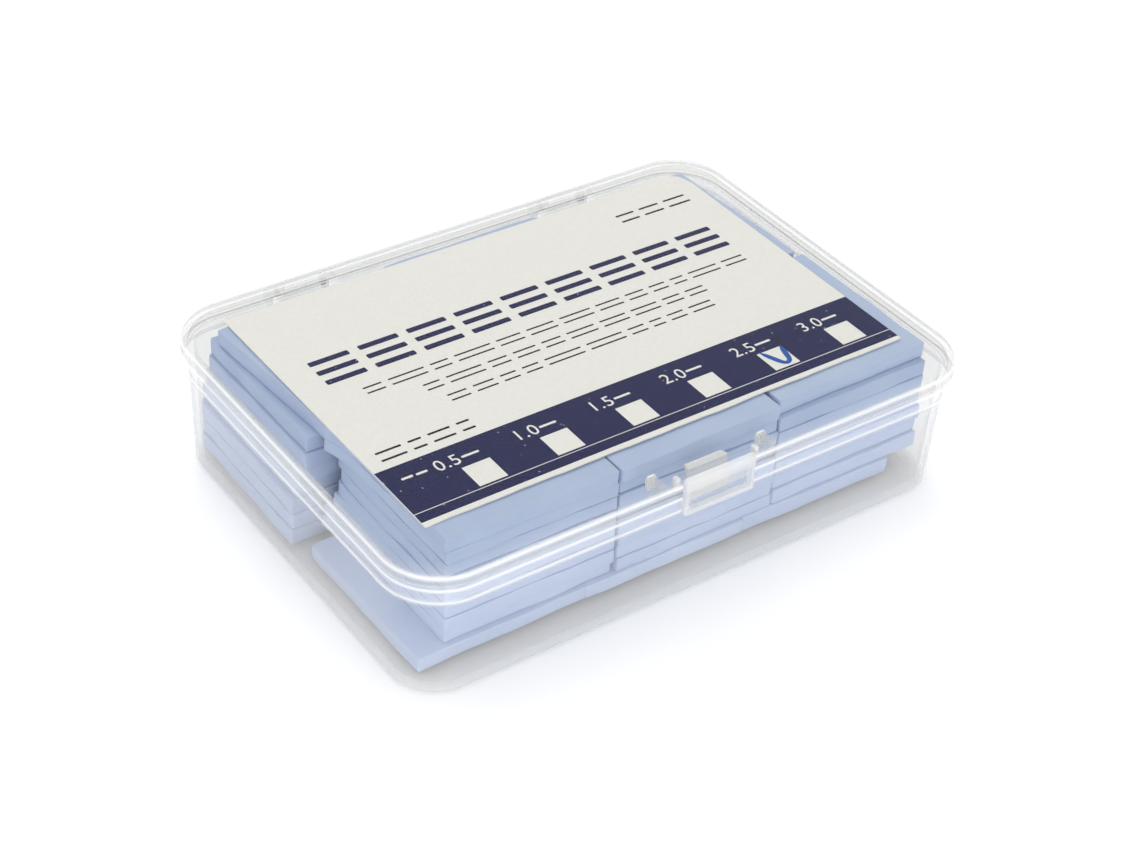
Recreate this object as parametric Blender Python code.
"""A clear hinged polypropylene box that holds stacks of soft thermal pads under a card.

Metres, +Z up. The origin is on the table, under the middle of the box. The latch is on the
-Y side, the lid's hinges on the +Y side, and the box is longest along X.
Every piece is one closed solid in an object of its own: the tray, the lid, the latch flap,
the card, and each pad.
"""
import math
import random

import bmesh
import bpy
from mathutils import Matrix, Vector

# Pads: three columns in two rows, and how many lie in each stack. Every stack is as high as the
# next, because soft pads lie looser in a stack of eight than in one of nine.
PAD_SIDE = 0.030
PAD_PITCH = 0.00245
PAD_EDGE = 0.00025
FRONT_STACKS = (9, 9, 8)
BACK_STACKS = (8, 8, 8)
COLUMN_GAP = 0.0004
ROW_GAP = 0.0029
LAYER_SLIP = 0.0004
PAD_SLIP = 0.0004
PAD_TURN = math.radians(0.35)
PACK_SEED = 1156

# Room left round the pads inside the tray, measured along its floor
LEFT_ROOM = 0.0077
RIGHT_ROOM = 0.0011
STRAY_ROOM = 0.0022
FRONT_GAP = 0.0009
BACK_GAP = 0.0005
HEAD_ROOM = 0.0004

# Card
CARD_LENGTH = 0.0898
CARD_WIDTH = 0.0586
CARD_THICKNESS = 0.00025
CARD_SHIFT_X = 0.0012
CARD_BACK_SHIFT = 0.0008

# Tray and lid
CORNER_RADIUS = 0.0095
TRAY_WALL = 0.0011
TRAY_FLOOR = 0.0011
WALL_DRAFT = 0.0005
FOOT_FILLET = 0.0012
FLANGE_HEIGHT = 0.0032
FLANGE_REACH = 0.0011
LID_HEIGHT = 0.0033
LID_WALL = 0.0011
LID_PLATE = 0.0010
LID_FILLET = 0.0026
CLEARANCE = 0.0003
CORNER_STEPS = 8
FILLET_STEPS = 4

# Latch flap in its notch, the tongue behind it, and the two webs in the lid beside it
LATCH_WIDTH = 0.0130
LATCH_THICKNESS = 0.0010
LATCH_PROUD = 0.0004
LATCH_ROLL_RADIUS = 0.0006
LATCH_COVER = 0.0004
LATCH_FOOT_DROP = 0.0003
WINDOW_WIDTH = 0.0104
WINDOW_HEIGHT = 0.0017
WINDOW_RISE = 0.0011
TONGUE_WIDTH = 0.0076
TONGUE_THICKNESS = 0.0009
TONGUE_BEAD_RADIUS = 0.0005
WEB_SPACING = 0.0205
WEB_THICKNESS = 0.0013

# Hinges on the back
HINGE_SPACING = 0.052
HINGE_PIN_RADIUS = 0.0007
HINGE_RING = 0.0006
HINGE_BARREL_LENGTH = 0.0080
HINGE_EAR_THICKNESS = 0.0018
HINGE_ARM_RISE = 0.0008
ROUND_SIDES = 24

# How far a cutter runs past the face that it opens
OVERCUT = 0.002


def corner_room(radius, side_room):
    """How far a square corner stands off one wall of a round corner, given the other wall."""
    reach = max(radius - side_room, 0.0)
    return radius - math.sqrt(radius ** 2 - reach ** 2)


# The tray's inside follows from the pads, and the box from its inside
COLUMNS = len(FRONT_STACKS)
PACK_LENGTH = COLUMNS * PAD_SIDE + (COLUMNS - 1) * COLUMN_GAP
PACK_WIDTH = 2 * PAD_SIDE + ROW_GAP
TRAY_RADIUS = CORNER_RADIUS - FLANGE_REACH
HOLLOW_RADIUS = TRAY_RADIUS - TRAY_WALL
END_ROOM = (LEFT_ROOM + RIGHT_ROOM) / 2
FRONT_ROOM = corner_room(HOLLOW_RADIUS, RIGHT_ROOM - LAYER_SLIP) + PAD_SLIP + FRONT_GAP
BACK_ROOM = corner_room(HOLLOW_RADIUS, END_ROOM - LAYER_SLIP) + PAD_SLIP + BACK_GAP
FLOOR_LENGTH = PACK_LENGTH + LEFT_ROOM + RIGHT_ROOM
FLOOR_WIDTH = PACK_WIDTH + FRONT_ROOM + BACK_ROOM
TRAY_LENGTH = FLOOR_LENGTH + 2 * (WALL_DRAFT + TRAY_WALL)
TRAY_WIDTH = FLOOR_WIDTH + 2 * (WALL_DRAFT + TRAY_WALL)
BOX_LENGTH = TRAY_LENGTH + 2 * FLANGE_REACH
BOX_WIDTH = TRAY_WIDTH + 2 * FLANGE_REACH

# Heights, from the table up
STACK_FOOT = TRAY_FLOOR + CLEARANCE
STACK_HEIGHT = max(FRONT_STACKS + BACK_STACKS) * PAD_PITCH
CARD_FOOT = STACK_FOOT + STACK_HEIGHT
LID_UNDERSIDE = CARD_FOOT + CARD_THICKNESS + HEAD_ROOM
BOX_HEIGHT = LID_UNDERSIDE + LID_PLATE
LID_BOTTOM = BOX_HEIGHT - LID_HEIGHT
SEAM_HEIGHT = LID_BOTTOM - CLEARANCE
FLANGE_BOTTOM = SEAM_HEIGHT - FLANGE_HEIGHT

# Places of the pads and the card
FRONT_ROW_X = (LEFT_ROOM - RIGHT_ROOM) / 2
FRONT_ROW_Y = -FLOOR_WIDTH / 2 + FRONT_ROOM + PAD_SIDE / 2
BACK_ROW_Y = FLOOR_WIDTH / 2 - BACK_ROOM - PAD_SIDE / 2
CARD_BACK_Y = BACK_ROW_Y + PAD_SIDE / 2 - CARD_BACK_SHIFT

# The two axes
HINGE_OUTER_RADIUS = HINGE_PIN_RADIUS + CLEARANCE + HINGE_RING
HINGE_AXIS_Y = BOX_WIDTH / 2 + CLEARANCE + HINGE_OUTER_RADIUS
HINGE_AXIS_Z = SEAM_HEIGHT - FLANGE_HEIGHT / 2
LATCH_OUTER_Y = -BOX_WIDTH / 2 - LATCH_PROUD
LATCH_INNER_Y = LATCH_OUTER_Y + LATCH_THICKNESS
LATCH_AXIS_Y = (LATCH_OUTER_Y + LATCH_INNER_Y) / 2
LATCH_AXIS_Z = BOX_HEIGHT - LATCH_COVER - CLEARANCE - LATCH_ROLL_RADIUS
LATCH_FOOT_Z = FLANGE_BOTTOM - LATCH_FOOT_DROP


def clear_scene():
    """Remove every object, whatever file this runs from."""
    for thing in list(bpy.data.objects):
        bpy.data.objects.remove(thing, do_unlink=True)


def make_collection(name):
    """Return a new collection in the scene."""
    collection = bpy.data.collections.new(name)
    bpy.context.scene.collection.children.link(collection)
    return collection


def make_material(name, color, roughness, alpha=1.0):
    """Return a Principled material; none of these finishes is metal."""
    material = bpy.data.materials.new(name)
    material.use_nodes = True
    shader = material.node_tree.nodes["Principled BSDF"]
    shader.inputs["Base Color"].default_value = (*color, 1.0)
    shader.inputs["Roughness"].default_value = roughness
    shader.inputs["Metallic"].default_value = 0.0
    shader.inputs["Alpha"].default_value = alpha
    return material


def add_object(name, bm, collection, material=None):
    """Put a bmesh into a named object of the collection."""
    mesh = bpy.data.meshes.new(name)
    bmesh.ops.recalc_face_normals(bm, faces=bm.faces)
    bm.to_mesh(mesh)
    bm.free()
    thing = bpy.data.objects.new(name, mesh)
    if material:
        mesh.materials.append(material)
    collection.objects.link(thing)
    return thing


def block_bmesh(low, high):
    """A plain box between two corners."""
    bm = bmesh.new()
    low, high = Vector(low), Vector(high)
    place = Matrix.Translation((low + high) / 2) @ Matrix.Diagonal((*(high - low), 1))
    bmesh.ops.create_cube(bm, size=1.0, matrix=place)
    return bm


def tray_form(length, width, bottom, top, radius, draft=0.0, foot_fillet=0.0, top_fillet=0.0):
    """A box with round upright corners, narrower below by the draft, with soft edges."""
    bm = block_bmesh((-length / 2, -width / 2, bottom), (length / 2, width / 2, top))
    middle = (bottom + top) / 2
    upright = [edge for edge in bm.edges if len({vert.co.z > middle for vert in edge.verts}) == 2]
    bmesh.ops.bevel(bm, geom=upright, offset=radius, segments=CORNER_STEPS, profile=0.5,
                    affect="EDGES")
    for vert in bm.verts:
        if vert.co.z < middle:
            vert.co.x *= 1 - 2 * draft / length
            vert.co.y *= 1 - 2 * draft / width
    for fillet, at_top in ((foot_fillet, False), (top_fillet, True)):
        if fillet > 0:
            rim = [edge for edge in bm.edges
                   if all((vert.co.z > middle) == at_top for vert in edge.verts)
                   and abs(edge.verts[0].co.z - edge.verts[1].co.z) < CLEARANCE / 10
                   and abs(edge.verts[0].co.z - (top if at_top else bottom)) < CLEARANCE / 10]
            bmesh.ops.bevel(bm, geom=rim, offset=fillet, segments=FILLET_STEPS, profile=0.5,
                            affect="EDGES")
    return bm


def rod_bmesh(radius, length, y, z, x=0.0):
    """A cylinder along X."""
    bm = bmesh.new()
    place = Matrix.Translation((x, y, z)) @ Matrix.Rotation(math.pi / 2, 4, "Y")
    bmesh.ops.create_cone(bm, cap_ends=True, segments=ROUND_SIDES, radius1=radius,
                          radius2=radius, depth=length, matrix=place)
    return bm


def combine(target, tool, operation):
    """Join a tool object to the target, or cut it out, with a live exact Boolean."""
    tool.hide_render = True
    tool.display_type = "WIRE"
    step = target.modifiers.new(f"{operation.lower()} {tool.name}", "BOOLEAN")
    step.operation = operation
    step.solver = "EXACT"
    step.object = tool


def make_tray(parts, tools, material):
    """The tray: drafted walls, floor, the flange round its mouth, tongue and hinge ears."""
    tray = add_object("tray", tray_form(TRAY_LENGTH, TRAY_WIDTH, 0.0, SEAM_HEIGHT, TRAY_RADIUS,
                                        WALL_DRAFT, FOOT_FILLET), parts, material)
    flange = tray_form(BOX_LENGTH, BOX_WIDTH, FLANGE_BOTTOM, SEAM_HEIGHT, CORNER_RADIUS,
                       0.0, FLANGE_REACH / 3)
    combine(tray, add_object("tray_flange", flange, tools), "UNION")
    hollow = tray_form(TRAY_LENGTH - 2 * TRAY_WALL, TRAY_WIDTH - 2 * TRAY_WALL, TRAY_FLOOR,
                       SEAM_HEIGHT + OVERCUT, HOLLOW_RADIUS, WALL_DRAFT, FOOT_FILLET / 2)
    combine(tray, add_object("tray_hollow", hollow, tools), "DIFFERENCE")
    notch = block_bmesh(
        (-LATCH_WIDTH / 2 - CLEARANCE, -BOX_WIDTH / 2 - OVERCUT, FLANGE_BOTTOM - CLEARANCE),
        (LATCH_WIDTH / 2 + CLEARANCE, LATCH_INNER_Y + CLEARANCE, SEAM_HEIGHT + OVERCUT))
    combine(tray, add_object("flange_notch", notch, tools), "DIFFERENCE")

    inner_face = -TRAY_WIDTH / 2 + TRAY_WALL
    tongue_top = LID_UNDERSIDE - CLEARANCE - TONGUE_BEAD_RADIUS
    tongue = block_bmesh(
        (-TONGUE_WIDTH / 2, inner_face - TRAY_WALL / 2, FLANGE_BOTTOM),
        (TONGUE_WIDTH / 2, inner_face - TRAY_WALL / 2 + TONGUE_THICKNESS, tongue_top))
    combine(tray, add_object("tongue_plate", tongue, tools), "UNION")
    bead_y = inner_face - TRAY_WALL / 2 + TONGUE_THICKNESS / 2
    bead = rod_bmesh(TONGUE_BEAD_RADIUS, TONGUE_WIDTH + 2 * CLEARANCE, bead_y, tongue_top)
    combine(tray, add_object("tongue_bead", bead, tools), "UNION")

    ear_offset = HINGE_BARREL_LENGTH / 2 + CLEARANCE + HINGE_EAR_THICKNESS / 2
    pin_length = HINGE_BARREL_LENGTH + 2 * CLEARANCE + HINGE_EAR_THICKNESS
    arm_half = HINGE_OUTER_RADIUS * 0.7
    for side in (-1, 1):
        middle = side * HINGE_SPACING / 2
        for end in (-1, 1):
            x = middle + end * ear_offset
            name = f"ear_{'left' if side < 0 else 'right'}_{'a' if end < 0 else 'b'}"
            arm = block_bmesh(
                (x - HINGE_EAR_THICKNESS / 2, BOX_WIDTH / 2 - FLANGE_REACH, HINGE_AXIS_Z - arm_half),
                (x + HINGE_EAR_THICKNESS / 2, HINGE_AXIS_Y, HINGE_AXIS_Z + arm_half))
            combine(tray, add_object(f"{name}_arm", arm, tools), "UNION")
            disc = rod_bmesh(HINGE_OUTER_RADIUS, HINGE_EAR_THICKNESS, HINGE_AXIS_Y, HINGE_AXIS_Z, x)
            combine(tray, add_object(f"{name}_disc", disc, tools), "UNION")
        pin = rod_bmesh(HINGE_PIN_RADIUS, pin_length, HINGE_AXIS_Y, HINGE_AXIS_Z, middle)
        combine(tray, add_object(f"pin_{'left' if side < 0 else 'right'}", pin, tools), "UNION")
    return tray


def make_lid(parts, tools, material, pivot):
    """The lid: a shallow cap with a notch for the latch, two webs and two hinge barrels."""
    fillet = min(LID_FILLET, LID_HEIGHT - CLEARANCE)
    lid = add_object("lid", tray_form(BOX_LENGTH, BOX_WIDTH, LID_BOTTOM, BOX_HEIGHT,
                                      CORNER_RADIUS, top_fillet=fillet), parts, material)
    hollow = add_object("lid_hollow", tray_form(
        BOX_LENGTH - 2 * LID_WALL, BOX_WIDTH - 2 * LID_WALL, LID_BOTTOM - OVERCUT, LID_UNDERSIDE,
        CORNER_RADIUS - LID_WALL, top_fillet=max(fillet - LID_WALL, LID_WALL / 2)), tools)
    web_radius = LID_UNDERSIDE - LID_BOTTOM - CLEARANCE
    for side in (-1, 1):
        web = rod_bmesh(web_radius, WEB_THICKNESS, -BOX_WIDTH / 2 + LID_WALL, LID_UNDERSIDE,
                        side * WEB_SPACING / 2)
        name = f"web_{'left' if side < 0 else 'right'}"
        combine(hollow, add_object(name, web, tools), "DIFFERENCE")
    combine(lid, hollow, "DIFFERENCE")
    notch = block_bmesh(
        (-LATCH_WIDTH / 2 - CLEARANCE, -BOX_WIDTH / 2 - OVERCUT, LID_BOTTOM - OVERCUT),
        (LATCH_WIDTH / 2 + CLEARANCE, max(LATCH_INNER_Y, -BOX_WIDTH / 2 + LID_WALL) + CLEARANCE,
         LATCH_AXIS_Z + LATCH_ROLL_RADIUS + CLEARANCE))
    combine(lid, add_object("lid_notch", notch, tools), "DIFFERENCE")

    half = HINGE_BARREL_LENGTH / 2
    arm_top = LID_BOTTOM + HINGE_ARM_RISE
    for side in (-1, 1):
        middle = side * HINGE_SPACING / 2
        word = "left" if side < 0 else "right"
        barrel = rod_bmesh(HINGE_OUTER_RADIUS, HINGE_BARREL_LENGTH, HINGE_AXIS_Y, HINGE_AXIS_Z,
                           middle)
        combine(lid, add_object(f"barrel_{word}", barrel, tools), "UNION")
        upright = block_bmesh(
            (middle - half, BOX_WIDTH / 2 + CLEARANCE, HINGE_AXIS_Z),
            (middle + half, HINGE_AXIS_Y + HINGE_PIN_RADIUS / 2, arm_top))
        combine(lid, add_object(f"arm_upright_{word}", upright, tools), "UNION")
        level = block_bmesh(
            (middle - half, BOX_WIDTH / 2 - LID_WALL / 2, LID_BOTTOM),
            (middle + half, HINGE_AXIS_Y, arm_top))
        combine(lid, add_object(f"arm_level_{word}", level, tools), "UNION")
        bore = rod_bmesh(HINGE_PIN_RADIUS + CLEARANCE, HINGE_BARREL_LENGTH + OVERCUT,
                         HINGE_AXIS_Y, HINGE_AXIS_Z, middle)
        combine(lid, add_object(f"bore_{word}", bore, tools), "DIFFERENCE")
    place_on_pivot(lid, pivot)
    return lid


def make_latch(parts, tools, material, pivot):
    """The latch flap: a rolled top edge, a plate with a window, and a foot bar."""
    flap = block_bmesh((-LATCH_WIDTH / 2, LATCH_OUTER_Y, LATCH_FOOT_Z),
                       (LATCH_WIDTH / 2, LATCH_INNER_Y, LATCH_AXIS_Z))
    latch = add_object("latch", flap, parts, material)
    roll = rod_bmesh(LATCH_ROLL_RADIUS, LATCH_WIDTH, LATCH_AXIS_Y, LATCH_AXIS_Z)
    combine(latch, add_object("latch_roll", roll, tools), "UNION")
    window_foot = LATCH_FOOT_Z + WINDOW_RISE
    window = block_bmesh(
        (-WINDOW_WIDTH / 2, LATCH_OUTER_Y - OVERCUT, window_foot),
        (WINDOW_WIDTH / 2, LATCH_INNER_Y + OVERCUT, window_foot + WINDOW_HEIGHT))
    combine(latch, add_object("latch_window", window, tools), "DIFFERENCE")
    place_on_pivot(latch, pivot)
    return latch


def place_on_pivot(thing, pivot):
    """Parent a moving piece to the empty on its joint's axis, and leave it where it is."""
    thing.parent = pivot
    thing.matrix_parent_inverse = pivot.matrix_world.inverted()


def make_pivot(name, y, z, collection):
    """An empty on a joint's axis."""
    pivot = bpy.data.objects.new(name, None)
    pivot.location = (0.0, y, z)
    pivot.empty_display_size = 0.01
    collection.objects.link(pivot)
    pivot.matrix_world = Matrix.Translation((0.0, y, z))
    return pivot


def pad_form(thickness, material):
    """The mesh that all pads of one thickness share, with its origin under its middle."""
    bm = block_bmesh((-PAD_SIDE / 2, -PAD_SIDE / 2, 0.0), (PAD_SIDE / 2, PAD_SIDE / 2, thickness))
    bmesh.ops.bevel(bm, geom=bm.edges[:], offset=PAD_EDGE, segments=1, affect="EDGES")
    form = bpy.data.meshes.new("pad")
    bm.to_mesh(form)
    bm.free()
    form.materials.append(material)
    return form


def make_pads(parts, material):
    """Every pad of the six stacks, each slipped and turned a little by hand as packed."""
    chance = random.Random(PACK_SEED)
    pitches = {count: STACK_HEIGHT / count for count in set(FRONT_STACKS + BACK_STACKS)}
    forms = {count: pad_form(pitch - CLEARANCE, material) for count, pitch in pitches.items()}
    column_pitch = PAD_SIDE + COLUMN_GAP
    rows = (("front", FRONT_STACKS, FRONT_ROW_X, FRONT_ROW_Y), ("back", BACK_STACKS, 0.0, BACK_ROW_Y))
    for row, counts, row_x, row_y in rows:
        for layer in range(max(counts)):
            layer_slip = chance.uniform(-LAYER_SLIP, LAYER_SLIP)
            for column, count in enumerate(counts):
                slip_y = chance.uniform(-PAD_SLIP, PAD_SLIP)
                turn = chance.uniform(-PAD_TURN, PAD_TURN)
                if layer >= count:
                    continue
                x = row_x + (column - (COLUMNS - 1) / 2) * column_pitch + layer_slip
                if row == "front" and column == 0 and layer == 0:
                    x -= LEFT_ROOM - STRAY_ROOM
                pad = bpy.data.objects.new(f"pad_{row}_{column + 1}_{layer + 1}", forms[count])
                pad.location = (x, row_y + slip_y, STACK_FOOT + layer * pitches[count])
                pad.rotation_euler = (0.0, 0.0, turn)
                parts.objects.link(pad)


def make_card(parts, material):
    """The printed card, which lies on the stacks under the lid."""
    card = block_bmesh(
        (CARD_SHIFT_X - CARD_LENGTH / 2, CARD_BACK_Y - CARD_WIDTH, CARD_FOOT),
        (CARD_SHIFT_X + CARD_LENGTH / 2, CARD_BACK_Y, CARD_FOOT + CARD_THICKNESS))
    return add_object("card", card, parts, material)


def main():
    clear_scene()
    parts = make_collection("boxed_thermal_pads")
    tools = make_collection("cutters")
    clear_plastic = make_material("clear_polypropylene", (0.88, 0.89, 0.90), 0.18, 0.35)
    silicone = make_material("blue_silicone", (0.40, 0.52, 0.76), 0.55)
    paper = make_material("card_stock", (0.86, 0.85, 0.80), 0.60)
    lid_pivot = make_pivot("lid_pivot", HINGE_AXIS_Y, HINGE_AXIS_Z, parts)
    latch_pivot = make_pivot("latch_pivot", LATCH_AXIS_Y, LATCH_AXIS_Z, parts)
    make_tray(parts, tools, clear_plastic)
    make_lid(parts, tools, clear_plastic, lid_pivot)
    make_latch(parts, tools, clear_plastic, latch_pivot)
    place_on_pivot(latch_pivot, lid_pivot)
    make_pads(parts, silicone)
    make_card(parts, paper)
    bpy.context.view_layer.update()


main()
